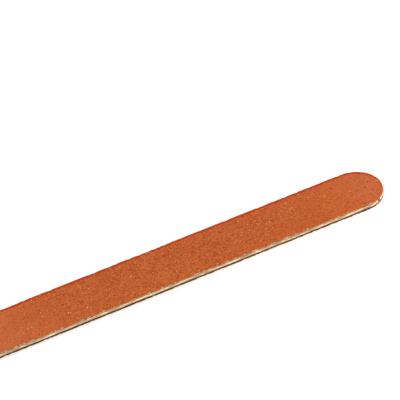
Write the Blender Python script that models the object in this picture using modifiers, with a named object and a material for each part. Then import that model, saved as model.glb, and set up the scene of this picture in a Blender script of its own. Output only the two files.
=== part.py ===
"""A double-sided sanding stick, also called an emery board, built as separate glued layers.

The stick lies flat with its underside on Z = 0, centred over the origin, with its length along X
and its width along Y. Every layer follows the same outline, a long strip with fully rounded ends.
From the middle outwards the layers are the wooden core, a glue film, the backing paper, the resin
that bonds the grit to the paper, and the grit. Both faces are built alike.
"""

import math

import bmesh
import bpy

MM = 0.001

# Overall size
LENGTH = 178 * MM
WIDTH = 13 * MM
THICKNESS = 1.5 * MM

# The layers on each face of the core
GLUE_THICKNESS = 0.03 * MM
PAPER_THICKNESS = 0.28 * MM
RESIN_THICKNESS = 0.04 * MM
GRIT_THICKNESS = 0.08 * MM

# Clearance between one layer and the next, so that no two solids share a face
LAYER_GAP = 0.01 * MM
LAYERS_PER_FACE = 4

# The core fills what the layers leave
CORE_THICKNESS = THICKNESS - 2 * (
    GLUE_THICKNESS + PAPER_THICKNESS + RESIN_THICKNESS + GRIT_THICKNESS + LAYERS_PER_FACE * LAYER_GAP
)

# The cutting die presses the abrasive's rim down: it stands back a little and is rounded
RESIN_SETBACK = 0.02 * MM
GRIT_SETBACK = 0.04 * MM
RIM_RADIUS = 0.05 * MM
RIM_STEPS = 3
SQUARE_EDGE = math.radians(45)

# Straight pieces in each half-round end
ARC_STEPS = 24

# Corners closer than this are one corner: well under the thinnest layer
WELD_DISTANCE = 0.001 * MM


def clear_scene():
    """Removes every object, so that the script builds the same model each time."""
    for existing in list(bpy.data.objects):
        bpy.data.objects.remove(existing, do_unlink=True)


def make_material(name, color, roughness):
    """A non-metallic Principled material."""
    material = bpy.data.materials.new(name)
    material.use_nodes = True
    shader = material.node_tree.nodes["Principled BSDF"]
    shader.inputs["Base Color"].default_value = (*color, 1.0)
    shader.inputs["Roughness"].default_value = roughness
    shader.inputs["Metallic"].default_value = 0.0
    return material


def outline_points(setback):
    """Corners of the strip's outline, anticlockwise: a half circle at each end, straight between."""
    radius = WIDTH / 2 - setback
    centre = (LENGTH - WIDTH) / 2
    corners = []
    for end in (1, -1):
        for step in range(ARC_STEPS + 1):
            angle = math.pi * (step / ARC_STEPS - 0.5)
            x = end * (centre + radius * math.cos(angle))
            y = end * radius * math.sin(angle)
            corners.append((x, y))
    return corners


def make_layer(stick, name, thickness, middle, material, setback=0.0):
    """A flat layer: the filled outline, given a thickness. middle is its height from mid-plane."""
    corners = outline_points(setback)
    curve = bpy.data.curves.new(name, "CURVE")
    curve.dimensions = "2D"
    curve.fill_mode = "BOTH"
    curve.extrude = thickness / 2
    spline = curve.splines.new("POLY")
    spline.points.add(len(corners) - 1)
    for point, (x, y) in zip(spline.points, corners):
        point.co = (x, y, 0.0, 1.0)
    spline.use_cyclic_u = True
    curve.materials.append(material)
    return place(stick, bpy.data.objects.new(name, curve), middle)


def place(stick, layer, middle):
    """Puts a layer in the stick's collection, at its height from the stick's mid-plane."""
    stick.users_collection[0].objects.link(layer)
    layer.parent = stick
    layer.location.z = middle
    return layer


def as_welded_mesh(layer):
    """The layer's shape as a mesh, with its two caps joined to its wall."""
    bpy.context.view_layer.update()
    evaluated = layer.evaluated_get(bpy.context.evaluated_depsgraph_get())
    mesh = bpy.data.meshes.new_from_object(evaluated)
    shape = bmesh.new()
    shape.from_mesh(mesh)
    bmesh.ops.remove_doubles(shape, verts=shape.verts, dist=WELD_DISTANCE)
    shape.to_mesh(mesh)
    shape.free()
    return mesh


def round_rim(stick, layer, side):
    """Rounds the rim of a layer on its outer side: 1 is above, -1 is below."""
    mesh = as_welded_mesh(layer)
    name, middle = layer.name, layer.location.z
    bpy.data.objects.remove(layer)
    rounded = place(stick, bpy.data.objects.new(name, mesh), middle)

    shape = bmesh.new()
    shape.from_mesh(mesh)
    weight = shape.edges.layers.float.new("bevel_weight_edge")
    for edge in shape.edges:
        outer = all(vertex.co.z * side > 0 for vertex in edge.verts)
        square = edge.calc_face_angle(0.0) > SQUARE_EDGE
        edge[weight] = 1.0 if outer and square else 0.0
    shape.to_mesh(mesh)
    shape.free()
    mesh.shade_smooth()
    mesh.set_sharp_from_angle(angle=SQUARE_EDGE)

    bevel = rounded.modifiers.new("rounded_rim", "BEVEL")
    bevel.limit_method = "WEIGHT"
    bevel.width = RIM_RADIUS
    bevel.segments = RIM_STEPS
    return rounded


def make_core(stick, wood):
    """The wooden strip in the middle, which gives the stick its stiffness."""
    return make_layer(stick, "wood_core", CORE_THICKNESS, 0.0, wood)


def make_face(stick, side, label, glue, paper, resin, grit):
    """The glued abrasive sheet on one side of the core: side 1 is the top, -1 the underside."""
    layers_outwards = (
        ("glue_film", GLUE_THICKNESS, glue, 0.0),
        ("backing_paper", PAPER_THICKNESS, paper, 0.0),
        ("resin_bond", RESIN_THICKNESS, resin, RESIN_SETBACK),
        ("grit_coat", GRIT_THICKNESS, grit, GRIT_SETBACK),
    )
    reach = CORE_THICKNESS / 2
    for name, thickness, material, setback in layers_outwards:
        middle = reach + LAYER_GAP + thickness / 2
        layer = make_layer(stick, f"{name}_{label}", thickness, side * middle, material, setback)
        reach = middle + thickness / 2
    round_rim(stick, layer, side)


def main():
    clear_scene()
    parts = bpy.data.collections.new("sanding_stick")
    bpy.context.scene.collection.children.link(parts)
    stick = bpy.data.objects.new("sanding_stick", None)
    stick.location.z = THICKNESS / 2
    parts.objects.link(stick)

    wood = make_material("pale_wood", (0.70, 0.56, 0.38), 0.75)
    glue = make_material("amber_glue", (0.55, 0.40, 0.18), 0.45)
    pale_paper = make_material("pale_paper", (0.60, 0.62, 0.50), 0.85)
    brown_paper = make_material("brown_paper", (0.20, 0.09, 0.035), 0.85)
    resin = make_material("orange_resin", (0.58, 0.08, 0.01), 0.50)
    grit = make_material("orange_brown_grit", (0.55, 0.13, 0.04), 0.90)

    make_core(stick, wood)
    make_face(stick, 1, "top", glue, pale_paper, resin, grit)
    make_face(stick, -1, "bottom", glue, brown_paper, resin, grit)


main()
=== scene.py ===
"""The looks of a double-sided sanding stick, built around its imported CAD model.

Every layer but the two thin glue films gets a piece with its true surface: granular faces with proud
grains, ragged die-cut rims, fibrous paper edges and a streaked wooden core. The glue films keep their
CAD shape and get a material. The stick lies on a white floor in soft light.
"""

import copy
import itertools
import math

import bpy
import numpy as np
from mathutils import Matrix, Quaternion, Vector, noise
from mathutils.geometry import delaunay_2d_cdt


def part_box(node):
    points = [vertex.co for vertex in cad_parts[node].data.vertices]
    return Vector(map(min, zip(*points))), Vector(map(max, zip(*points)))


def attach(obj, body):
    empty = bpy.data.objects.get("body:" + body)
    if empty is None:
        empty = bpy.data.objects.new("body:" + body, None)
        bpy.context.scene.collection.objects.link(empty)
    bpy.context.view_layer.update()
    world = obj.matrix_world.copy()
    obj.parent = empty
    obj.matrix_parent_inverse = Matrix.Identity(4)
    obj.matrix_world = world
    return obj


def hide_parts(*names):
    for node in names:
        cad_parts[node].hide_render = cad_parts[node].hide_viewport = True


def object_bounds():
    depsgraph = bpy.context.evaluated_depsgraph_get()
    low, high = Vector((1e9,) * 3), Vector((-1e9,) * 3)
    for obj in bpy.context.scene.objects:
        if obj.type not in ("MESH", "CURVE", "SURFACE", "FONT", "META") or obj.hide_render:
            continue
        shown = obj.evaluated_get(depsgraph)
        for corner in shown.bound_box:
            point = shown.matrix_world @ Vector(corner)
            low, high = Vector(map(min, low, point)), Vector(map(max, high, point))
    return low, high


MM = 0.001

# The camera, placed by the point that it looks at, which is on the plane of the top face
VIEW_ELEVATION = math.radians(38.2)
VIEW_HEADING = math.radians(21.8)
VIEW_ROLL = math.radians(-7.54)
VIEW_LENS = 200.0
VIEW_DISTANCE = 508 * MM
VIEW_AIM_X = 51.18 * MM
VIEW_AIM_Y = 16.31 * MM

# Spacing of the points round an outline and over a face. The jitter is a share of the spacing, and
# the margin keeps the face's points off its rim.
RING_SPACING = 0.20 * MM
FACE_SPACING = 0.26 * MM
FACE_JITTER = 0.32
FACE_MARGIN = 0.20 * MM

# Rings of points from the top of a cut edge to its bottom
PAPER_RINGS = 6
CORE_RINGS = 12

# Relief of the grit faces, and how far they lie inside the CAD grit
GRAIN_RELIEF = 0.022 * MM
WAVE_RELIEF = 0.010 * MM
WAVES_PER_METRE = 260.0
CAP_SINK = 0.020 * MM

# The grit's rim: rolled over on the top, with a burr on the underside. A setback below zero reaches
# past the layer's own CAD outline, which stands back from the core's.
RIM_DROP = 0.035 * MM
UNDERSIDE_BURR = 0.030 * MM
RIM_SETBACK = -0.025 * MM
UNDERSIDE_SETBACK = -0.02 * MM
RIM_RAGGEDNESS = 0.020 * MM

# The shoulder, a ring of points inside the rim, and which share of the grains' relief it has
SHOULDER_INSET = 0.10 * MM
SHOULDER_RELIEF = 0.3

# The band inside the rim where the resin lies bare, and how softly it ends
RIM_BAND_NEAR = 0.23 * MM
RIM_BAND_FAR = 0.80 * MM
RIM_REACH = 0.60 * MM

# Bites in the grit's rim, and how deep one has to be to show bare paper
SMALL_CHIPS = 150
LARGE_CHIPS = 165
CHIP_SHOWS = 0.10 * MM

# The resin's own raggedness, the share of each bite that it follows, and the share of all that is
# left at half its thickness
RESIN_RAGGEDNESS = 0.010 * MM
RESIN_FOLLOWS = 0.9
RESIN_MIDDLE = 0.6

# Roughness of the cut edges: its depth, its features per metre, and where in the noise it is read
PAPER_ROUGHNESS = 0.035 * MM
PAPER_FIBRES = 5000.0
CORE_ROUGHNESS = 0.045 * MM
CORE_FIBRES = (420.0, 5200.0, 6500.0)
EDGE_NOISE_PLACE = 7.0

# How far resin, bare paper, stains and the core's darker bottom reach over the cut edges. The core's
# stain and darker bottom fade out between two places near the +X tip.
SOAK_DEPTH = 0.09 * MM
SOAK_STRENGTH = 1.7
BARE_DEPTH = 0.10 * MM
GLUE_STAIN = 0.09 * MM
BOTTOM_DARKENING = 0.06 * MM
STAIN_FADE = (79 * MM, 86 * MM)

# Nicks in each paper, how far their middles may lie from its glued face, and tears in the core
NICKS = 200
NICKS_FROM_GLUE = 0.08 * MM
TEARS = 110
TEAR_SEED = 40

# The pore torn open in the core, by its angle from the +X tip and its drop from half height
TIP_HOLE_ANGLE = math.radians(60)
TIP_HOLE_DROP = 0.06 * MM
TIP_HOLE_LONG = 0.48 * MM
TIP_HOLE_TALL = 0.22 * MM
TIP_HOLE_DEEP = 0.42 * MM

# Grains that stand out of each face, and the row of them beside the bare band. The depth of their
# middles and their height are shares of their size.
SMALL_GRAINS = 1800
SMALL_GRAIN_SIZES = (0.04 * MM, 0.08 * MM)
COARSE_GRAINS = 1200
COARSE_GRAIN_SIZES = (0.09 * MM, 0.17 * MM)
GRAIN_MARGIN = 0.30 * MM
GRAIN_DEPTH = 0.25
GRAIN_HEIGHT = 0.7
RIM_GRAINS = 260
RIM_GRAINS_INSET = 0.04 * MM
RIM_GRAINS_SPREAD = 0.05 * MM

# Freshness of the grit at places along the stick, and which share of its coarse grains is pale
# Low freshness, at the +X end and where held, brings a painted pale sheen to the grit
FRESH_AT = (8 * MM, 30 * MM, 44 * MM, 62 * MM, 86 * MM)
FRESHNESS = (1.0, 1.15, 1.15, 1.0, 0.55)
PALE_FROM = (-5 * MM, 25 * MM)
PALE_SHARE = (0.50, 0.25)

# Where a hand has rubbed the grit, how far that reaches towards -X and +X, and what is lost there
HELD_AT = -8 * MM
HELD_REACH = (26 * MM, 12 * MM)
HELD_GRAINS_LOST = 0.75
HELD_CONTRAST_LOST = 0.5

# Floor and light. The sky has one strength at the horizon and one high up, and fades between two
# heights, where 1 is straight overhead.
FLOOR_HALF = 3.0
FLOOR_GLOW = 0.12
SKY_LOW, SKY_HIGH = 1.0, 0.70
SKY_FADE_FROM, SKY_FADE_TO = 0.05, 0.60
KEY_POWER = 5.0
FILL_POWER = 1.6
SIDE_POWER = 0.078

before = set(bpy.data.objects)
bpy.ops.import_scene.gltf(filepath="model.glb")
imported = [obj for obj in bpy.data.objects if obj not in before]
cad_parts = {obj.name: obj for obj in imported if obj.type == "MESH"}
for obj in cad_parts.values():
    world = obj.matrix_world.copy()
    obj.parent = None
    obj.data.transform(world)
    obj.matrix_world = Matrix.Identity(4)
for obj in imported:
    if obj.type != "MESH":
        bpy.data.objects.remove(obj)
cad_low, cad_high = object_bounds()


# ---------------------------------------------------------------- outlines


class Outline:
    """A layer's outline, anticlockwise from the +X tip: straight sides between half-round ends.

    points are its corners. At each corner, outward leads straight out of the layer, and along is the
    distance round the outline.
    """

    def __init__(self, node):
        low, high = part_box(node)
        self.bottom, self.top = low.z, high.z
        self.radius = high.y
        self.centre = high.x - high.y
        self.length = 4 * self.centre + 2 * math.pi * self.radius
        arc_steps = round(math.pi / 2 * self.radius / RING_SPACING)
        side_steps = round(2 * self.centre / RING_SPACING)
        angle = np.concatenate([
            np.linspace(0, math.pi / 2, arc_steps, endpoint=False),
            np.full(side_steps, math.pi / 2),
            np.linspace(math.pi / 2, math.pi, arc_steps + 1),
        ])
        middle = np.concatenate([
            np.full(arc_steps, self.centre),
            np.linspace(self.centre, -self.centre, side_steps, endpoint=False),
            np.full(arc_steps + 1, -self.centre),
        ])
        angle = np.concatenate([angle, -angle[-2:0:-1]])
        middle = np.concatenate([middle, middle[-2:0:-1]])
        self.outward = np.stack([np.cos(angle), np.sin(angle)], 1)
        self.points = np.stack([middle, np.zeros_like(middle)], 1) + self.radius * self.outward
        self.along = self.position(self.points)

    def inset(self, points):
        """How far inside the outline each point lies."""
        past_end = np.maximum(np.abs(points[:, 0]) - self.centre, 0)
        return self.radius - np.hypot(past_end, points[:, 1])

    def position(self, points):
        """The distance round the outline, from the +X tip, to its place nearest each point."""
        x, y = points[:, 0], points[:, 1]
        quarter = math.pi / 2 * self.radius
        half = 2 * self.centre + 2 * quarter
        arc = self.radius * np.arctan2(np.abs(y), np.maximum(np.abs(x) - self.centre, 0))
        on_end = np.where(x > 0, arc, half - arc)
        upper = np.where(np.abs(x) > self.centre, on_end, quarter + self.centre - x)
        return np.where(y >= 0, upper, 2 * half - upper)


def noise_at(points, scale, offset=0.0):
    """Smooth noise from -1 to 1 at each point. scale is features per metre, one number or three."""
    return np.array([noise.noise(Vector(point)) for point in points * scale + offset])


def line_noise(along, scale, row):
    """The same for distances along a line. Each row is another line."""
    points = np.column_stack([along * scale, np.full(len(along), row), np.zeros(len(along))])
    return noise_at(points, 1.0)


class Flaws:
    """Nicks, tears and bites in a cut edge, each a smooth bump with its own place and size.

    heights, long, tall and deep are ranges: at which height the flaws lie, how far they reach along
    the edge and up it, and how deep they go. They lie all round the outline, unless a place is given.
    """

    SIZES = ("at", "height", "long", "tall", "deep")

    def __init__(self, seed, count, outline, heights, long, tall, deep, place=None):
        random = np.random.default_rng(seed)
        self.total = outline.length
        self.at = random.uniform(0, outline.length, count) if place is None else np.full(count, place)
        self.height = random.uniform(*heights, count)
        self.long = random.uniform(*long, count)
        self.tall = random.uniform(*tall, count)
        self.deep = random.uniform(*deep, count)

    def joined(self, other):
        """These flaws together with the others."""
        both = copy.copy(self)
        for name in self.SIZES:
            setattr(both, name, np.concatenate([getattr(self, name), getattr(other, name)]))
        return both

    def only_deep(self, least):
        """The flaws that go at least this deep."""
        kept = copy.copy(self)
        for name in self.SIZES:
            setattr(kept, name, getattr(self, name)[self.deep >= least])
        return kept

    def depth(self, along, height=None):
        """How deep the flaws are at each place, and from 0 to 1 how much each place lies in one.

        Without a height, the flaws count at every height.
        """
        deep, shade = np.zeros(len(along)), np.zeros(len(along))
        for at, middle, long, tall, most in zip(self.at, self.height, self.long, self.tall, self.deep):
            away = np.abs(along - at)
            away = np.minimum(away, self.total - away) / long
            if height is not None:
                away = np.hypot(away, (height - middle) / tall)
            bump = np.exp(-away * away)
            deep = np.maximum(deep, most * bump)
            shade = np.maximum(shade, bump)
        return deep, shade


# ---------------------------------------------------------------- solids


def make_piece(name, points, faces, material, nodes=(), values=None):
    """A closed mesh that rides on the stick and stands for the CAD nodes named.

    values are numbers for each point, which the material reads by their names.
    """
    mesh = bpy.data.meshes.new(name)
    mesh.from_pydata(points.tolist(), [], faces)
    for label, value in (values or {}).items():
        attribute = mesh.attributes.new(label, "FLOAT", "POINT")
        attribute.data.foreach_set("value", value.ravel().astype(np.float32))
    mesh.materials.append(material)
    mesh.update()
    piece = bpy.data.objects.new(name, mesh)
    bpy.context.scene.collection.objects.link(piece)
    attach(piece, "root")
    if nodes:
        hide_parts(*nodes)
    return piece


def cap_faces(first, count, upward):
    """Strips across a closed ring of points, from its first point's end to the other end."""
    half = count // 2
    ring = [(0, 1, count - 1)]
    ring += [(k, k + 1, count - k - 1, count - k) for k in range(1, half - 1)]
    ring.append((half - 1, half, half + 1))
    faces = [tuple(first + k for k in face) for face in ring]
    return faces if upward else [face[::-1] for face in faces]


def wall_faces(upper, lower, count):
    """Quads between two rings of points, facing outwards."""
    return [
        (lower + k, lower + (k + 1) % count, upper + (k + 1) % count, upper + k)
        for k in range(count)
    ]


def ring_solid(outline, heights, setback):
    """A solid of rings stacked from the top down. setback[row, k] is how far point k stands back."""
    count = len(outline.points)
    rings = []
    for height, back in zip(heights, setback):
        ring = outline.points - outline.outward * back[:, None]
        rings.append(np.column_stack([ring, np.full(count, height)]))
    faces = cap_faces(0, count, True)
    for row in range(len(heights) - 1):
        faces += wall_faces(row * count, (row + 1) * count, count)
    faces += cap_faces((len(heights) - 1) * count, count, False)
    return np.concatenate(rings), faces


def rough_edge(outline, heights, roughness, scale, flaws):
    """The points and faces of a solid whose cut edge is rough by noise and by flaws.

    flaws are groups of them by name. Under the same names, the values returned say how much each
    point lies in a flaw of the group.
    """
    setback = []
    shades = {label: [] for label in flaws}
    for height in heights:
        points = np.column_stack([outline.points, np.full(len(outline.points), height)])
        deepest = np.zeros(len(points))
        for label, group in flaws.items():
            deep, shade = group.depth(outline.along, height)
            deepest = np.maximum(deepest, deep)
            shades[label].append(shade)
        rough = 0.5 + 0.5 * noise_at(points, scale, EDGE_NOISE_PLACE)
        setback.append(roughness * rough + deepest)
    points, faces = ring_solid(outline, heights, np.array(setback))
    return points, faces, {label: np.array(rows) for label, rows in shades.items()}


def stain(heights, source, reach):
    """How strong a stain or darkening is in the ring at each height: full at its source, and fading away
    from it.
    """
    return np.exp(-np.abs(heights - source) / reach)[:, None]


# ---------------------------------------------------------------- materials


class Nodes:
    """A short way to write a material's node tree, in object coordinates."""

    def __init__(self, name):
        self.material = bpy.data.materials.new(name)
        self.material.use_nodes = True
        self.tree = self.material.node_tree
        self.shader = self.tree.nodes["Principled BSDF"]
        coordinates = self.tree.nodes.new("ShaderNodeTexCoord")
        self.place = coordinates.outputs["Object"]

    def link(self, source, target):
        """Joins an output to an input, or sets the input to a plain number or colour."""
        if isinstance(source, bpy.types.NodeSocket):
            self.tree.links.new(source, target)
        elif isinstance(source, tuple):
            target.default_value = (*source, 1.0)
        else:
            target.default_value = source

    def noise(self, scale, detail=2.0, rough=0.5, place=None):
        """Noise from 0 to 1, with that many features per unit of the place, which is in metres."""
        texture = self.tree.nodes.new("ShaderNodeTexNoise")
        texture.inputs["Scale"].default_value = scale
        texture.inputs["Detail"].default_value = detail
        texture.inputs["Roughness"].default_value = rough
        self.tree.links.new(place or self.place, texture.inputs["Vector"])
        return texture.outputs["Fac"]

    def streaks(self, scales, detail=2.0, rough=0.5):
        """Noise with its own number of features per metre along each axis."""
        mapping = self.tree.nodes.new("ShaderNodeMapping")
        mapping.inputs["Scale"].default_value = scales
        self.tree.links.new(self.place, mapping.inputs["Vector"])
        return self.noise(1.0, detail, rough, mapping.outputs["Vector"])

    def cells(self, scale):
        """Cells like separate grains: a random number from 0 to 1 for each, and its middle's distance."""
        texture = self.tree.nodes.new("ShaderNodeTexVoronoi")
        texture.inputs["Scale"].default_value = scale
        self.tree.links.new(self.place, texture.inputs["Vector"])
        split = self.tree.nodes.new("ShaderNodeSeparateColor")
        self.tree.links.new(texture.outputs["Color"], split.inputs["Color"])
        return split.outputs["Red"], texture.outputs["Distance"]

    def attribute(self, name):
        """A value that the mesh carries at its points."""
        node = self.tree.nodes.new("ShaderNodeAttribute")
        node.attribute_name = name
        return node.outputs["Fac"]

    def span(self, value, low, high, to_low=0.0, to_high=1.0):
        """value from low to high becomes to_low to to_high, clamped."""
        node = self.tree.nodes.new("ShaderNodeMapRange")
        self.link(value, node.inputs["Value"])
        node.inputs["From Min"].default_value = low
        node.inputs["From Max"].default_value = high
        node.inputs["To Min"].default_value = to_low
        node.inputs["To Max"].default_value = to_high
        return node.outputs["Result"]

    def math(self, operation, a, b):
        """One sum, difference or product, as the operation says."""
        node = self.tree.nodes.new("ShaderNodeMath")
        node.operation = operation
        self.link(a, node.inputs[0])
        self.link(b, node.inputs[1])
        return node.outputs["Value"]

    def mix(self, share, a, b):
        """Colour a turning into b as share goes from 0 to 1."""
        node = self.tree.nodes.new("ShaderNodeMix")
        node.data_type = "RGBA"
        self.link(share, node.inputs["Factor"])
        self.link(a, node.inputs["A"])
        self.link(b, node.inputs["B"])
        return next(output for output in node.outputs if output.type == "RGBA")

    def finish(self, color, roughness, height, depth, specular):
        """Wires colour, roughness and a bump of that depth in metres, and returns the material."""
        self.link(color, self.shader.inputs["Base Color"])
        self.link(roughness, self.shader.inputs["Roughness"])
        self.shader.inputs["Specular IOR Level"].default_value = specular
        bump = self.tree.nodes.new("ShaderNodeBump")
        bump.inputs["Strength"].default_value = 1.0
        bump.inputs["Distance"].default_value = depth
        self.tree.links.new(height, bump.inputs["Height"])
        self.tree.links.new(bump.outputs["Normal"], self.shader.inputs["Normal"])
        return self.material


def worn_ground(n, freshness_and_sheen):
    """The grit's colour before its specks: mottled, under a painted pale sheen where freshness is low, at
    the +X end and where held, and lighter where held.
    """
    brown, orange, red = (0.422, 0.092, 0.022), (0.456, 0.104, 0.028), (0.426, 0.086, 0.020)
    pale_sheen, rubbed_bright = (0.800, 0.500, 0.360), (0.820, 0.230, 0.070)
    patches = n.span(n.noise(110.0, 3.0), 0.35, 0.65)
    mottle = n.span(n.noise(900.0, 3.0, 0.6), 0.35, 0.65)
    color = n.mix(patches, brown, orange)
    color = n.mix(n.span(mottle, 0.0, 1.0, 0.0, 0.25), color, red)
    # Painted pale sheen where freshness is low
    color = n.mix(n.span(freshness_and_sheen, 0.70, 0.56, 0.0, 0.032), color, pale_sheen)
    uneven = n.span(n.noise(190.0), 0.35, 0.65, 0.10, 0.18)
    return n.mix(n.math("MULTIPLY", n.attribute("held"), uneven), color, rubbed_bright)


def bare_rim(n, lit_near_rim, shaded_far_rim):
    """The band inside the rim where the resin lies bare: its share, broken by gaps, and its colour, with
    painted light on the near -Y side and painted shade on the far side.
    """
    far = n.attribute("far")
    ragged = n.noise(2600.0)
    gaps = n.math("MULTIPLY", n.span(ragged, 0.58, 0.40), n.span(far, 0.0, 1.0, 0.90, 0.05))
    rim = n.math("ADD", n.attribute("rim"), n.span(ragged, 0.0, 1.0, -0.20, 0.20))
    rim = n.math("MULTIPLY", n.span(rim, 0.42, 0.58), n.math("SUBTRACT", 1.0, gaps))
    return rim, n.mix(far, lit_near_rim, shaded_far_rim)


def specks(n, color, value, shown, bright, dark):
    """Adds bright specks where a random value is near 1 and dark ones where it is near 0.

    bright and dark each give the value that the specks start from, their strength and their colour.
    """
    for (start, strength, tint), end in ((bright, 1.0), (dark, 0.0)):
        share = n.math("MULTIPLY", n.span(value, start, end, 0.0, strength), shown)
        color = n.mix(share, color, tint)
    return color


def grit_material(name, lit_near_rim, shaded_far_rim):
    """Orange-brown grit in resin, speckled grain by grain, and bare inside its rim, whose colour has
    painted light on the near -Y side and painted shade on the far side.
    """
    n = Nodes(name)
    grain, distance = n.cells(5200.0)
    clump, _ = n.cells(3200.0)
    tone = n.attribute("tone")
    fine = n.noise(9000.0)
    freshness_and_sheen = n.attribute("freshness_and_sheen")
    rim, rim_color = bare_rim(n, lit_near_rim, shaded_far_rim)
    color = n.mix(rim, worn_ground(n, freshness_and_sheen), rim_color)
    shown = n.math("MULTIPLY", n.span(rim, 0.0, 1.0, 1.0, 0.30), freshness_and_sheen)
    for value, bright, dark in (
        (grain, (0.80, 0.42, (0.640, 0.190, 0.075)), (0.22, 0.55, (0.210, 0.032, 0.008))),
        (tone, (0.70, 0.25, (0.620, 0.175, 0.060)), (0.30, 0.25, (0.290, 0.050, 0.011))),
        (clump, (0.86, 0.45, (0.620, 0.180, 0.065)), (0.22, 0.75, (0.240, 0.040, 0.009))),
    ):
        color = specks(n, color, value, shown, bright, dark)
    roughness = n.span(fine, 0.3, 0.7, 0.75, 0.95)
    height = n.math("ADD", n.math("MULTIPLY", distance, -0.6), fine)
    return n.finish(color, roughness, height, 0.03 * MM, 0.03)


def grain_material():
    """Single large grains, from dark brown through orange to pale translucent ones."""
    n = Nodes("proud_grain")
    dark, orange, pale = (0.105, 0.017, 0.005), (0.430, 0.090, 0.022), (0.860, 0.400, 0.200)
    smeared = (0.460, 0.100, 0.026)
    tone = n.attribute("tone")
    fine = n.noise(7000.0)
    color = n.mix(n.span(tone, 0.0, 0.45), dark, orange)
    color = n.mix(n.span(tone, 0.55, 1.0), color, pale)
    color = n.mix(n.span(fine, 0.35, 0.65, 0.0, 0.15), color, smeared)
    roughness = n.span(fine, 0.3, 0.7, 0.50, 0.70)
    return n.finish(color, roughness, fine, 0.02 * MM, 0.10)


def resin_material(name, dark, light):
    """The hard resin under the grit."""
    n = Nodes(name)
    flow = n.noise(1800.0, 3.0)
    color = n.mix(n.span(flow, 0.35, 0.65), dark, light)
    return n.finish(color, n.span(flow, 0.3, 0.7, 0.40, 0.60), flow, 0.02 * MM, 0.30)


def paper_material(name, dark, light, stained, shade, soaked, bare):
    """The cut edge of a paper: pressed fibres, stains, soaked-in resin and bare spots, with painted shade
    in the hollows between fibres and in its voids.
    """
    n = Nodes(name)
    layer = n.streaks((620.0, 620.0, 3600.0), 3.0, 0.6)
    fluff = n.noise(4200.0, 3.0, 0.6)
    blotch = n.noise(520.0)
    color = n.mix(n.span(layer, 0.38, 0.62), dark, light)
    color = n.mix(n.span(blotch, 0.50, 0.68, 0.0, 0.6), color, stained)
    # Painted shade in the hollows between fibres
    color = n.mix(n.span(fluff, 0.42, 0.28, 0.0, 0.6), color, shade)
    soak = n.math("MULTIPLY", n.attribute("soak"), n.span(blotch, 0.30, 0.60, 0.7, 1.0))
    color = n.mix(soak, color, soaked)
    color = n.mix(n.span(n.attribute("bare"), 0.35, 0.80, 0.0, 0.85), color, bare)
    # Painted shade in the nicks
    color = n.mix(n.span(n.attribute("void_shade"), 0.30, 0.75), color, shade)
    height = n.math("ADD", layer, fluff)
    return n.finish(color, n.span(fluff, 0.3, 0.7, 0.80, 0.95), height, 0.04 * MM, 0.15)


def wood_color(n, streak, pore):
    """Pale wood cut along and across its grain, with lengthwise streaks and pores."""
    tan, sand, cream = (0.370, 0.232, 0.112), (0.590, 0.445, 0.255), (0.870, 0.755, 0.510)
    brown, pale, dark = (0.230, 0.135, 0.060), (0.800, 0.700, 0.470), (0.140, 0.080, 0.035)
    band = n.streaks((90.0, 1300.0, 1900.0))
    shift = n.span(n.streaks((90.0, 90.0, 90.0)), 0.35, 0.65)
    color = n.mix(n.span(band, 0.43, 0.57), tan, sand)
    color = n.mix(n.span(streak, 0.51, 0.58, 0.0, 0.90), color, cream)
    color = n.mix(n.span(streak, 0.47, 0.38, 0.0, 0.90), color, brown)
    color = n.mix(n.span(shift, 0.0, 1.0, 0.0, 0.30), color, pale)
    return n.mix(n.span(pore, 0.36, 0.26, 0.0, 0.80), color, dark)


def wood_material():
    """The core's wood: stained grey-green beside the upper paper, darker brown towards its bottom, with
    painted shade in its torn voids and painted black shade in a hole inside a pale ring.
    """
    n = Nodes("pale_wood")
    grey_green, brown, dark = (0.190, 0.185, 0.100), (0.075, 0.036, 0.012), (0.085, 0.050, 0.022)
    halo, black = (0.930, 0.880, 0.690), (0.006, 0.005, 0.003)
    streak = n.streaks((380.0, 2600.0, 2600.0), 4.0, 0.6)
    pore = n.streaks((520.0, 7000.0, 7000.0))
    blotch = n.noise(900.0)
    color = wood_color(n, streak, pore)
    upper = n.math("MULTIPLY", n.attribute("soak"), n.span(blotch, 0.35, 0.60, 0.45, 0.95))
    color = n.mix(upper, color, grey_green)
    # Darker brown towards the core's bottom, above the lower paper
    lower = n.math("MULTIPLY", n.attribute("brown"), n.span(blotch, 0.65, 0.40, 0.50, 1.0))
    color = n.mix(lower, color, brown)
    # Painted shade in the torn fibres
    color = n.mix(n.span(n.attribute("void_shade"), 0.30, 0.70, 0.0, 0.70), color, dark)
    hole = n.attribute("hole")
    color = n.mix(n.span(hole, 0.005, 0.04, 0.0, 0.95), color, halo)
    # Painted black shade inside the torn hole
    color = n.mix(n.span(hole, 0.20, 0.30), color, black)
    height = n.math("ADD", streak, pore)
    return n.finish(color, n.span(streak, 0.3, 0.7, 0.80, 0.95), height, 0.025 * MM, 0.10)


def glue_material():
    """Dried amber glue, in places thicker or darker."""
    n = Nodes("amber_glue")
    flow = n.noise(1400.0, 3.0)
    color = n.mix(n.span(flow, 0.35, 0.65), (0.300, 0.190, 0.080), (0.560, 0.420, 0.210))
    return n.finish(color, n.span(flow, 0.3, 0.7, 0.35, 0.60), flow, 0.01 * MM, 0.40)


def floor_material():
    """The top of a light table, whose glow hides most of the shadow."""
    n = Nodes("white_floor")
    cloud = n.noise(6.0)
    color = n.mix(cloud, (0.88, 0.88, 0.87), (0.91, 0.91, 0.90))
    n.shader.inputs["Emission Color"].default_value = (1.0, 1.0, 0.98, 1.0)
    n.shader.inputs["Emission Strength"].default_value = FLOOR_GLOW
    return n.finish(color, n.span(cloud, 0.3, 0.7, 0.85, 0.95), cloud, 0.01 * MM, 0.10)


# ---------------------------------------------------------------- the abrasive faces


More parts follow.
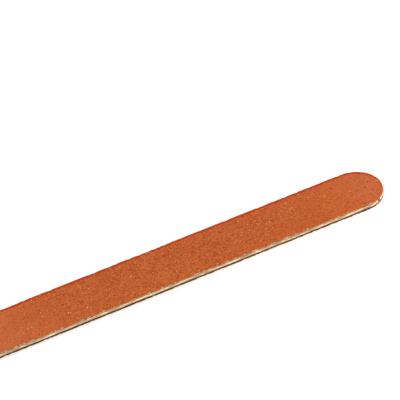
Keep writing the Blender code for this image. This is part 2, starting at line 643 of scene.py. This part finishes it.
def rim_chips(outline, seed):
    """Bites that the die leaves in the rim of the grit, with the paper showing under the deep ones.

    A bite goes through the whole grit, so its height and how tall it is don't matter.
    """
    through = {"heights": (0, 0), "tall": (MM, MM)}
    small = Flaws(
        seed, SMALL_CHIPS, outline, long=(0.08 * MM, 0.30 * MM), deep=(0.03 * MM, 0.12 * MM), **through,
    )
    large = Flaws(
        seed + 50, LARGE_CHIPS, outline, long=(0.22 * MM, 0.50 * MM), deep=(0.10 * MM, 0.20 * MM),
        **through,
    )
    return small.joined(large)


def ragged_back(outline, side, chips, seed):
    """How far the grit's rim stands back from its outline at each corner."""
    fine = line_noise(outline.along, 1 / (0.45 * MM), seed)
    coarse = line_noise(outline.along, 1 / (2.5 * MM), seed + 9.0)
    back = RIM_RAGGEDNESS * (fine + coarse) + RIM_SETBACK + chips.depth(outline.along)[0]
    return back + (UNDERSIDE_SETBACK if side < 0 else 0)


def face_points(outline, chips, random):
    """Points spread evenly but not in rows over the face, inside its rim."""
    rows = np.arange(-outline.radius, outline.radius, FACE_SPACING * math.sqrt(3) / 2)
    reach = outline.centre + outline.radius
    columns = np.arange(-reach, reach, FACE_SPACING)
    x, y = np.meshgrid(columns, rows)
    x = x + (np.arange(len(rows)) % 2)[:, None] * FACE_SPACING / 2
    points = np.stack([x.ravel(), y.ravel()], 1)
    points = points + random.uniform(-FACE_JITTER, FACE_JITTER, points.shape) * FACE_SPACING
    chipped = chips.depth(outline.position(points))[0]
    return points[outline.inset(points) > FACE_MARGIN + chipped]


def rubbed(x):
    """How much a hand has rubbed the grit at each place along the stick: most near its middle."""
    reach = np.where(x < HELD_AT, *HELD_REACH)
    return np.exp(-((x - HELD_AT) / reach) ** 2)


def freshness(x, lost):
    """Freshness of the grit along the stick, which where low also brings a painted pale sheen. lost is
    the share gone where it is rubbed most.
    """
    return np.interp(x, FRESH_AT, FRESHNESS) * (1 - lost * rubbed(x))


def rim_band(y, outline):
    """How wide the bare band is inside the rim: narrow on the -Y side and wide on the +Y side."""
    return RIM_BAND_NEAR + (RIM_BAND_FAR - RIM_BAND_NEAR) * (0.5 + 0.5 * y / outline.radius)


def fill_face(edge, shoulder, inside):
    """Triangles over a face, from its edge over the shoulder ring to the points inside.

    The corners come out in the same order: the edge, the shoulder and then the rest.
    """
    count = len(edge)
    in_mm = [Vector(point) for point in np.concatenate([edge, shoulder, inside]) / MM]
    shoulder_edges = [(count + k, count + (k + 1) % count) for k in range(count)]
    edge_ring = list(range(count))
    only_inside, tolerance = 1, 1e-6
    corners, _, triangles, *_ = delaunay_2d_cdt(
        in_mm, shoulder_edges, [edge_ring], only_inside, tolerance,
    )
    return np.array([tuple(corner) for corner in corners]) * MM, [tuple(face) for face in triangles]


def grit_values(outline, points):
    """What the grit's material reads at each point, apart from its random tone."""
    x, y = points[:, 0], points[:, 1]
    from_band = rim_band(y, outline) - outline.inset(points[:, :2])
    return {
        "rim": np.clip(0.5 + from_band / RIM_REACH, 0, 1),
        # far picks the painted shaded rim colour on the +Y side and the painted lit one at the -Y side
        "far": np.clip(0.9 + 0.9 * y / outline.radius, 0, 1),
        "freshness_and_sheen": freshness(x, HELD_CONTRAST_LOST),
        "held": rubbed(x),
    }


def grit_face(name, node, side, material, chips, seed):
    """A granular face with a ragged rim, on a flat base. side is 1 above and -1 below."""
    random = np.random.default_rng(seed)
    outline = Outline(node)
    outer, inner = (outline.top, outline.bottom) if side > 0 else (outline.bottom, outline.top)
    back = ragged_back(outline, side, chips, seed)[:, None]
    edge = outline.points - outline.outward * back
    shoulder = outline.points - outline.outward * (back + SHOULDER_INSET)
    flat, faces = fill_face(edge, shoulder, face_points(outline, chips, random))
    count = len(edge)

    wave = noise_at(np.column_stack([flat, np.zeros(len(flat))]), WAVES_PER_METRE, seed) * WAVE_RELIEF
    grain = random.uniform(-1, 1, len(flat)) * GRAIN_RELIEF
    sink = CAP_SINK - wave - grain
    sink[:count] = RIM_DROP if side > 0 else -UNDERSIDE_BURR
    sink[count:2 * count] = CAP_SINK + SHOULDER_RELIEF * grain[count:2 * count]
    face = np.column_stack([flat, outer - side * sink])
    base = np.column_stack([edge, np.full(count, inner)])
    points = np.concatenate([face, base])

    upper, lower = (0, len(face)) if side > 0 else (len(face), 0)
    if side < 0:
        faces = [corners[::-1] for corners in faces]
    faces += wall_faces(upper, lower, count)
    faces += cap_faces(len(face), count, side < 0)

    tone = np.concatenate([random.uniform(0, 1, len(flat)), np.full(count, 0.5)])
    values = {"tone": tone, **grit_values(outline, points)}
    return make_piece(name, points, faces, material, [node], values)


def icosahedron():
    """The corners and faces of a regular solid of twenty triangles, the base of every grain."""
    golden = (1 + math.sqrt(5)) / 2
    corners = []
    for a in (-1, 1):
        for b in (-golden, golden):
            corners += [(a, b, 0), (0, a, b), (b, 0, a)]
    corners = np.array(corners, float) / math.hypot(1, golden)
    longest_edge = 1.01 * min(np.linalg.norm(corners[0] - corner) for corner in corners[1:])
    faces = []
    for i, j, k in itertools.combinations(range(len(corners)), 3):
        a, b, c = corners[[i, j, k]]
        if max(np.linalg.norm(a - b), np.linalg.norm(b - c), np.linalg.norm(a - c)) < longest_edge:
            outward = np.dot(np.cross(b - a, c - a), a) > 0
            faces.append((i, j, k) if outward else (i, k, j))
    return corners, faces


def grain_spots(outline, count, row_count, random):
    """Places for the proud grains: over the whole face, and in a row beside the bare band.

    Twice as many places are drawn as are needed, because some fall outside the face.
    """
    reach = outline.centre + outline.radius
    spots = random.uniform((-reach, -outline.radius), (reach, outline.radius), (count * 2, 2))
    spots = spots[outline.inset(spots) > GRAIN_MARGIN][:count]
    in_row = random.choice(len(outline.points), row_count, replace=False)
    inset = rim_band(outline.points[in_row, 1], outline)
    inset = inset + random.normal(RIM_GRAINS_INSET, RIM_GRAINS_SPREAD, row_count)
    row = outline.points[in_row] - outline.outward[in_row] * inset[:, None]
    return np.concatenate([spots, row])


def grain_shape(corners, size, random):
    """One grain: the regular solid made uneven, turned at random and flattened."""
    uneven = random.uniform(0.75, 1.2, (len(corners), 1))
    stretch = random.uniform(0.75, 1.3, 3)
    turn = Quaternion(random.normal(size=4)).normalized().to_matrix()
    return corners * uneven * stretch @ np.array(turn).T * size * (1.0, 1.0, GRAIN_HEIGHT)


def proud_grains(name, node, side, material, seed):
    """Grains that stand out of the face: many small ones, and fewer coarse pale or dark ones."""
    random = np.random.default_rng(seed)
    outline = Outline(node)
    outer = outline.top if side > 0 else outline.bottom
    small = grain_spots(outline, SMALL_GRAINS, 0, random)
    coarse = grain_spots(outline, COARSE_GRAINS, RIM_GRAINS, random)
    coarse = coarse[random.uniform(0, 1, len(coarse)) < freshness(coarse[:, 0], HELD_GRAINS_LOST)]
    small_sizes = random.uniform(*SMALL_GRAIN_SIZES, len(small))
    coarse_sizes = random.uniform(*COARSE_GRAIN_SIZES, len(coarse))
    pale = random.uniform(0, 1, len(coarse)) < np.interp(coarse[:, 0], PALE_FROM, PALE_SHARE)
    coarse_tones = random.uniform(0, 0.15, len(coarse)) + 0.85 * pale
    small_tones = random.uniform(0.1, 0.9, len(small))

    corners, base_faces = icosahedron()
    spots = np.concatenate([small, coarse])
    sizes = np.concatenate([small_sizes, coarse_sizes])
    points, faces = [], []
    for (x, y), size in zip(spots, sizes):
        middle = (x, y, outer - side * (CAP_SINK + GRAIN_DEPTH * size))
        faces += [tuple(len(points) * len(corners) + k for k in face) for face in base_faces]
        points.append(grain_shape(corners, size, random) + middle)
    tone = np.repeat(np.concatenate([small_tones, coarse_tones]), len(corners))
    return make_piece(name, np.concatenate(points), faces, material, (), {"tone": tone})


def resin_layer(name, node, side, chips, material, seed):
    """The resin under the grit, whose rim follows the grit's bites, least at half its thickness."""
    outline = Outline(node)
    wobble = line_noise(outline.along, 1 / (0.6 * MM), seed)
    back = RESIN_RAGGEDNESS * wobble + RESIN_FOLLOWS * chips.depth(outline.along)[0]
    if side < 0:
        back = back + UNDERSIDE_SETBACK
    heights = (outline.top, (outline.top + outline.bottom) / 2, outline.bottom)
    points, faces = ring_solid(outline, heights, np.array([back, RESIN_MIDDLE * back, back]))
    return make_piece(name, points, faces, material, [node])


# ---------------------------------------------------------------- the paper and the core


def make_paper(name, node, side, chips, material, seed):
    """A backing paper, nicked beside the glue, and soaked with resin beside the grit.

    Resin is smeared down the cut from the grit, except where deep bites have taken it off.
    """
    outline = Outline(node)
    heights = np.linspace(outline.top, outline.bottom, PAPER_RINGS)
    beside_grit, glued = (outline.top, outline.bottom) if side > 0 else (outline.bottom, outline.top)
    nicks = Flaws(
        seed, NICKS, outline, heights=(glued - NICKS_FROM_GLUE, glued + NICKS_FROM_GLUE),
        long=(0.20 * MM, 0.7 * MM), tall=(0.06 * MM, 0.13 * MM), deep=(0.04 * MM, 0.16 * MM),
    )
    points, faces, values = rough_edge(
        outline, heights, PAPER_ROUGHNESS, PAPER_FIBRES, {"void_shade": nicks},
    )
    bitten = chips.only_deep(CHIP_SHOWS).depth(outline.along)[1]
    soaked = np.minimum(1.0, SOAK_STRENGTH * stain(heights, beside_grit, SOAK_DEPTH))
    values["soak"] = soaked * (1 - bitten)
    values["bare"] = bitten * stain(heights, beside_grit, BARE_DEPTH)
    return make_piece(name, points, faces, material, [node], values)


def tip_hole(outline):
    """One pore torn open near half the core's height, on the -Y side of the +X end."""
    along = outline.length - TIP_HOLE_ANGLE * outline.radius
    height = (outline.bottom + outline.top) / 2 - TIP_HOLE_DROP
    return Flaws(
        0, 1, outline, heights=(height, height), long=(TIP_HOLE_LONG, TIP_HOLE_LONG),
        tall=(TIP_HOLE_TALL, TIP_HOLE_TALL), deep=(TIP_HOLE_DEEP, TIP_HOLE_DEEP), place=along,
    )


def make_core(material):
    """The wooden core, with fibres torn along its cut edge and a hole in its +X end.

    It is stained grey-green below the upper paper and darker brown towards its bottom, above the lower
    one.
    """
    outline = Outline("wood_core")
    heights = np.linspace(outline.top, outline.bottom, CORE_RINGS)
    tears = Flaws(
        TEAR_SEED, TEARS, outline, heights=(outline.bottom, outline.top),
        long=(0.3 * MM, 1.8 * MM), tall=(0.03 * MM, 0.08 * MM), deep=(0.02 * MM, 0.09 * MM),
    )
    flaws = {"void_shade": tears, "hole": tip_hole(outline)}
    points, faces, values = rough_edge(
        outline, heights, CORE_ROUGHNESS, np.array(CORE_FIBRES), flaws,
    )
    stained = np.interp(outline.points[:, 0], STAIN_FADE, (1.0, 0.0))
    values["soak"] = stained * stain(heights, outline.top, GLUE_STAIN)
    values["brown"] = stained * stain(heights, outline.bottom, BOTTOM_DARKENING)
    return make_piece("core_strip", points, faces, material, ["wood_core"], values)


# ---------------------------------------------------------------- the stick


def make_face(side, label, paper, grit, grain, resin, seed):
    """One glued abrasive sheet: paper, resin, grit and its proud grains."""
    chips = rim_chips(Outline(f"grit_coat_{label}"), seed)
    make_paper(
        f"paper_sheet_{label}", f"backing_paper_{label}", side, chips, paper, seed + 1,
    )
    resin_layer(f"resin_film_{label}", f"resin_bond_{label}", side, chips, resin, seed + 2)
    grit_face(f"grit_face_{label}", f"grit_coat_{label}", side, grit, chips, seed + 3)
    proud_grains(f"proud_grains_{label}", f"grit_coat_{label}", side, grain, seed + 4)


def make_glue():
    """Gives the two glue films, which keep their CAD shape, their material."""
    glue = glue_material()
    for label in ("top", "bottom"):
        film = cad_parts[f"glue_film_{label}"]
        film.data.materials.clear()
        film.data.materials.append(glue)


def make_stick():
    """The core, an abrasive sheet on pale paper above it, one on brown paper below, and the glue."""
    # The top grit's rim: painted light on the near -Y side, painted shade on the far side
    grit = grit_material("orange_brown_grit", (0.600, 0.088, 0.010), (0.460, 0.038, 0.000))
    # The underside grit's rim is painted nearly black: painted shade along the bottom edge under the
    # stick
    under_grit_in_shade = grit_material("underside_grit_shaded_rim", (0.060, 0.013, 0.003), (0.060, 0.013, 0.003))
    resin = resin_material("orange_resin", (0.400, 0.050, 0.006), (0.600, 0.100, 0.015))
    # The underside resin is painted dark: painted shade along the bottom edge
    shaded_under_resin = resin_material("resin_in_painted_shade", (0.050, 0.012, 0.003), (0.110, 0.028, 0.007))
    grain = grain_material()
    pale = paper_material(
        "pale_paper", dark=(0.122, 0.152, 0.072), light=(0.282, 0.346, 0.190),
        stained=(0.202, 0.188, 0.092), shade=(0.060, 0.055, 0.026),
        soaked=(0.420, 0.085, 0.014), bare=(0.520, 0.680, 0.510),
    )
    # Brown paper below, painted far darker than its own brown: partly its colour, partly painted shade
    # along the bottom edge
    brown = paper_material(
        "brown_paper", dark=(0.040, 0.010, 0.001), light=(0.105, 0.034, 0.005),
        stained=(0.070, 0.019, 0.002), shade=(0.010, 0.004, 0.001),
        soaked=(0.050, 0.012, 0.003), bare=(0.120, 0.055, 0.020),
    )
    make_core(wood_material())
    make_face(1, "top", pale, grit, grain, resin, 100)
    make_face(-1, "bottom", brown, under_grit_in_shade, grain, shaded_under_resin, 200)
    make_glue()


# ---------------------------------------------------------------- floor, light and camera


def make_floor():
    """A wide white floor under the lowest grain."""
    low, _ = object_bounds()
    mesh = bpy.data.meshes.new("floor")
    near, far = -FLOOR_HALF, FLOOR_HALF
    corners = [(near, near, 0), (far, near, 0), (far, far, 0), (near, far, 0)]
    mesh.from_pydata(corners, [], [(0, 1, 2, 3)])
    mesh.materials.append(floor_material())
    floor = bpy.data.objects.new("floor", mesh)
    floor.location.z = low.z
    bpy.context.scene.collection.objects.link(floor)


def add_softbox(name, place, aim, size, power):
    """A square area light that faces a point."""
    light = bpy.data.lights.new(name, "AREA")
    light.shape = "SQUARE"
    light.size = size
    light.energy = power
    lamp = bpy.data.objects.new(name, light)
    lamp.location = place
    lamp.rotation_mode = "QUATERNION"
    lamp.rotation_quaternion = (Vector(aim) - Vector(place)).to_track_quat("-Z", "Y")
    bpy.context.scene.collection.objects.link(lamp)


def make_sky():
    """White surroundings, brightest near the horizon."""
    world = bpy.data.worlds.new("white_room")
    world.use_nodes = True
    tree = world.node_tree
    place = tree.nodes.new("ShaderNodeTexCoord")
    split = tree.nodes.new("ShaderNodeSeparateXYZ")
    fade = tree.nodes.new("ShaderNodeMapRange")
    fade.inputs["From Min"].default_value = SKY_FADE_FROM
    fade.inputs["From Max"].default_value = SKY_FADE_TO
    fade.inputs["To Min"].default_value = SKY_LOW
    fade.inputs["To Max"].default_value = SKY_HIGH
    background = tree.nodes["Background"]
    background.inputs["Color"].default_value = (1.0, 1.0, 1.0, 1.0)
    tree.links.new(place.outputs["Generated"], split.inputs["Vector"])
    tree.links.new(split.outputs["Z"], fade.inputs["Value"])
    tree.links.new(fade.outputs["Result"], background.inputs["Strength"])
    bpy.context.scene.world = world


def make_light():
    """A white room, with softboxes at the front right, behind on the left and close to the +X end."""
    make_sky()
    middle = (0.03, 0.0, 0.0)
    tip = (cad_high.x, 0.0, 0.0)
    add_softbox("key_softbox", (0.55, -0.55, 0.60), middle, 0.45, KEY_POWER)
    add_softbox("fill_softbox", (-0.40, 0.50, 0.70), middle, 0.60, FILL_POWER)
    add_softbox("side_softbox", (0.19, -0.03, 0.028), tip, 0.04, SIDE_POWER)
    bpy.context.scene.view_settings.view_transform = "Standard"


def make_camera():
    """The camera, looking down across the stick from the front left."""
    ahead = Vector((math.sin(VIEW_HEADING), math.cos(VIEW_HEADING), 0.0)) * math.cos(VIEW_ELEVATION)
    ahead.z = -math.sin(VIEW_ELEVATION)
    aim = Vector((VIEW_AIM_X, VIEW_AIM_Y, cad_high.z))
    data = bpy.data.cameras.new("camera")
    data.lens = VIEW_LENS
    data.sensor_width = 36.0
    data.clip_start = 0.01
    data.clip_end = 20.0
    camera = bpy.data.objects.new("camera", data)
    camera.rotation_mode = "QUATERNION"
    camera.rotation_quaternion = ahead.to_track_quat("-Z", "Y") @ Quaternion((0, 0, 1), VIEW_ROLL)
    camera.location = aim - ahead * VIEW_DISTANCE
    bpy.context.scene.collection.objects.link(camera)
    bpy.context.scene.camera = camera


make_camera()
make_stick()
make_floor()
make_light()
